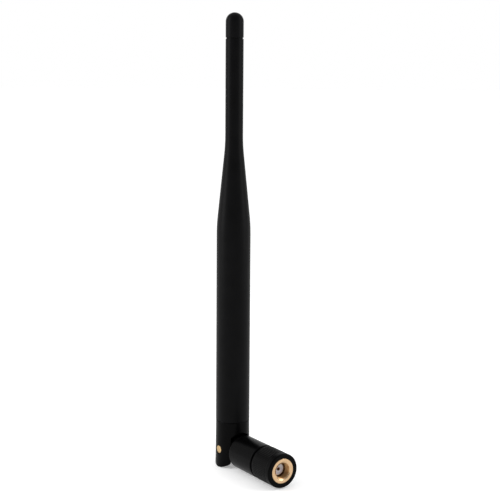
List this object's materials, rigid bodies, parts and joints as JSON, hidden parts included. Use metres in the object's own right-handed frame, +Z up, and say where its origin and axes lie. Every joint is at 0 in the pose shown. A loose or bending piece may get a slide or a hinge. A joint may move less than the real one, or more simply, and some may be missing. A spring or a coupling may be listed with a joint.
{
  "type": "omnidirectional whip antenna",
  "caption": "Slim tapered whip antenna that folds on a pinned hinge over a short barrel with a free-turning, internally threaded coaxial coupling nut.",
  "frame": {"origin": "centre of the coupling nut's thread, at its first full turn behind the mouth", "axes": "-Y out of the plug's mouth, +Z up the whip, X along the hinge pins"},
  "size_m": [0.0132, 0.0397, 0.1701],
  "materials": {
    "radome_plastic": "fine satin-matte moulded black",
    "hinge_plastic": "satin moulded black",
    "grip_plastic": "fine-ribbed satin black",
    "gold_plate": "gold flash over turned brass",
    "bare_brass": "drawn brass",
    "white_insulator": "waxy white fluoropolymer",
    "tinned": "tinned metal",
    "gasket_silicone": "soft brown silicone rubber",
    "seal_rubber": "soft black rubber",
    "cable_sheath": "brown translucent fluoropolymer"
  },
  "bodies": {
    "base": {"swivel_barrel": "hinge_plastic", "connector_body": "gold_plate", "connector_insulator": "white_insulator", "centre_contact": "gold_plate", "snap_ring": "tinned", "gasket": "gasket_silicone", "crimp_ferrule": "tinned"},
    "nut": {"coupling_nut": "gold_plate", "grip_sleeve": "grip_plastic"},
    "whip": {"hinge_yoke": "hinge_plastic", "hinge_pin_left": "gold_plate", "hinge_pin_right": "gold_plate", "radome": "radome_plastic", "tip_cap": "radome_plastic", "cable_jacket": "cable_sheath", "cable_braid": "tinned", "cable_dielectric": "white_insulator", "cable_conductor": "tinned", "choke_sleeve": "bare_brass", "choke_bush": "white_insulator", "spacer_lower": "white_insulator", "spacer_upper": "white_insulator", "solder_joint": "tinned", "feed_sleeve": "seal_rubber", "lower_element": "bare_brass", "coil_former": "white_insulator", "phasing_coil": "bare_brass", "upper_element": "bare_brass", "tip_bead": "white_insulator"}
  },
  "joints": [
    {"name": "nut_spin", "type": "hinge", "parent": "base", "child": "nut", "pos_m": [0, 0, 0], "axis": [0, -1, 0], "continuous": true},
    {"name": "whip_fold", "type": "hinge", "parent": "base", "child": "whip", "pos_m": [0, 0.0328, 0], "axis": [1, 0, 0], "range_deg": [-90, 0], "deforming": ["cable_jacket", "cable_braid", "cable_dielectric", "cable_conductor"]}
  ]
}
